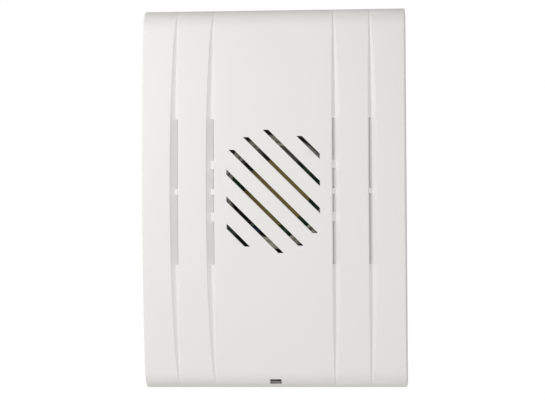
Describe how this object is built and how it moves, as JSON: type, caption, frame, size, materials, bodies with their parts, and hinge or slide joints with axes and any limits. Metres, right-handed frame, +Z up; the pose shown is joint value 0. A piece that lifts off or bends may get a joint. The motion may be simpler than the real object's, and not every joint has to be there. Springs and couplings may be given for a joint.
{
  "type": "alarm siren",
  "caption": "Wall-mounted indoor alarm siren: arched white cover with fluted sides and a slotted grille, hinged on a back housing that holds a piezo sounder and its drive board.",
  "frame": {"origin": "centre of the flat wall face of the back housing", "axes": "+X to the viewer's right seen from the front, -Y out of the wall through the grille, +Z up the wall"},
  "size_m": [0.098, 0.037, 0.142],
  "materials": {
    "cover_plastic": "fine matt moulding texture, off white",
    "housing_plastic": "matt moulded, off white",
    "latch_plastic": "matt moulded, off white",
    "collar_plastic": "satin moulded, cream white",
    "support_plastic": "matt moulded",
    "brass": "rolled, slightly dulled",
    "ceramic_electrode": "fired silver electrode, matt",
    "lead_black": "soft PVC",
    "lead_blue": "soft PVC",
    "board": "green solder resist over copper tracks",
    "zinc_steel": "zinc plated",
    "terminal_plastic": "satin moulded, green",
    "tinned_brass": "tin plated",
    "black_plastic": "satin moulded, black",
    "plunger_plastic": "satin moulded, red",
    "ferrite": "sintered ferrite, dull dark grey",
    "winding": "yellow polyester tape over enamelled wire",
    "component_black": "moulded epoxy with tinned legs",
    "capacitor_sleeve": "shrunk sleeve over an aluminium can",
    "resistor_body": "lacquered, colour banded",
    "jumper_plastic": "satin moulded, blue"
  },
  "bodies": {
    "housing": {"back_housing": "housing_plastic", "acoustic_collar": "collar_plastic", "piezo_support": "support_plastic", "piezo_brass_disc": "brass", "piezo_ceramic_disc": "ceramic_electrode", "piezo_lead_black": "lead_black", "piezo_lead_blue": "lead_blue", "circuit_board": "board", "board_screw_1": "zinc_steel", "board_screw_2": "zinc_steel", "board_screw_3": "zinc_steel", "board_screw_4": "zinc_steel", "terminal_block": "terminal_plastic", "terminal_screw_1": "zinc_steel", "terminal_clamp_1": "tinned_brass", "terminal_screw_2": "zinc_steel", "terminal_clamp_2": "tinned_brass", "terminal_screw_3": "zinc_steel", "terminal_clamp_3": "tinned_brass", "terminal_screw_4": "zinc_steel", "terminal_clamp_4": "tinned_brass", "terminal_screw_5": "zinc_steel", "terminal_clamp_5": "tinned_brass", "terminal_screw_6": "zinc_steel", "terminal_clamp_6": "tinned_brass", "tamper_switch_body": "black_plastic", "transformer_core": "ferrite", "transformer_bobbin": "black_plastic", "transformer_winding": "winding", "drive_transistor": "component_black", "capacitor_large": "capacitor_sleeve", "capacitor_small": "capacitor_sleeve", "tone_chip": "component_black", "resistor_1": "resistor_body", "resistor_2": "resistor_body", "resistor_3": "resistor_body", "resistor_4": "resistor_body", "diode_1": "component_black", "diode_2": "component_black", "tone_jumper_header": "black_plastic", "tone_jumper_1": "jumper_plastic", "tone_jumper_2": "jumper_plastic"},
    "cover": {"front_cover": "cover_plastic"},
    "latch": {"release_latch": "latch_plastic"},
    "plunger": {"tamper_plunger": "plunger_plastic"}
  },
  "joints": [
    {"name": "cover_swing", "type": "hinge", "parent": "housing", "child": "cover", "pos_m": [0, -0.0053, 0.069], "axis": [-1, 0, 0], "range_deg": [0, 35]},
    {"name": "latch_flex", "type": "hinge", "parent": "housing", "child": "latch", "pos_m": [0, -0.0045, -0.0656], "axis": [-1, 0, 0], "range_deg": [0, 7], "stiffness_Nm_per_rad": 0.02, "springref_deg": -2.86},
    {"name": "plunger_travel", "type": "slide", "parent": "housing", "child": "plunger", "axis": [0, -1, 0], "range_m": [0, 0.0012]}
  ],
  "couplings": [
    {"joint": "plunger_travel", "follows": "cover_swing", "m_per_rad": 0.00196}
  ]
}
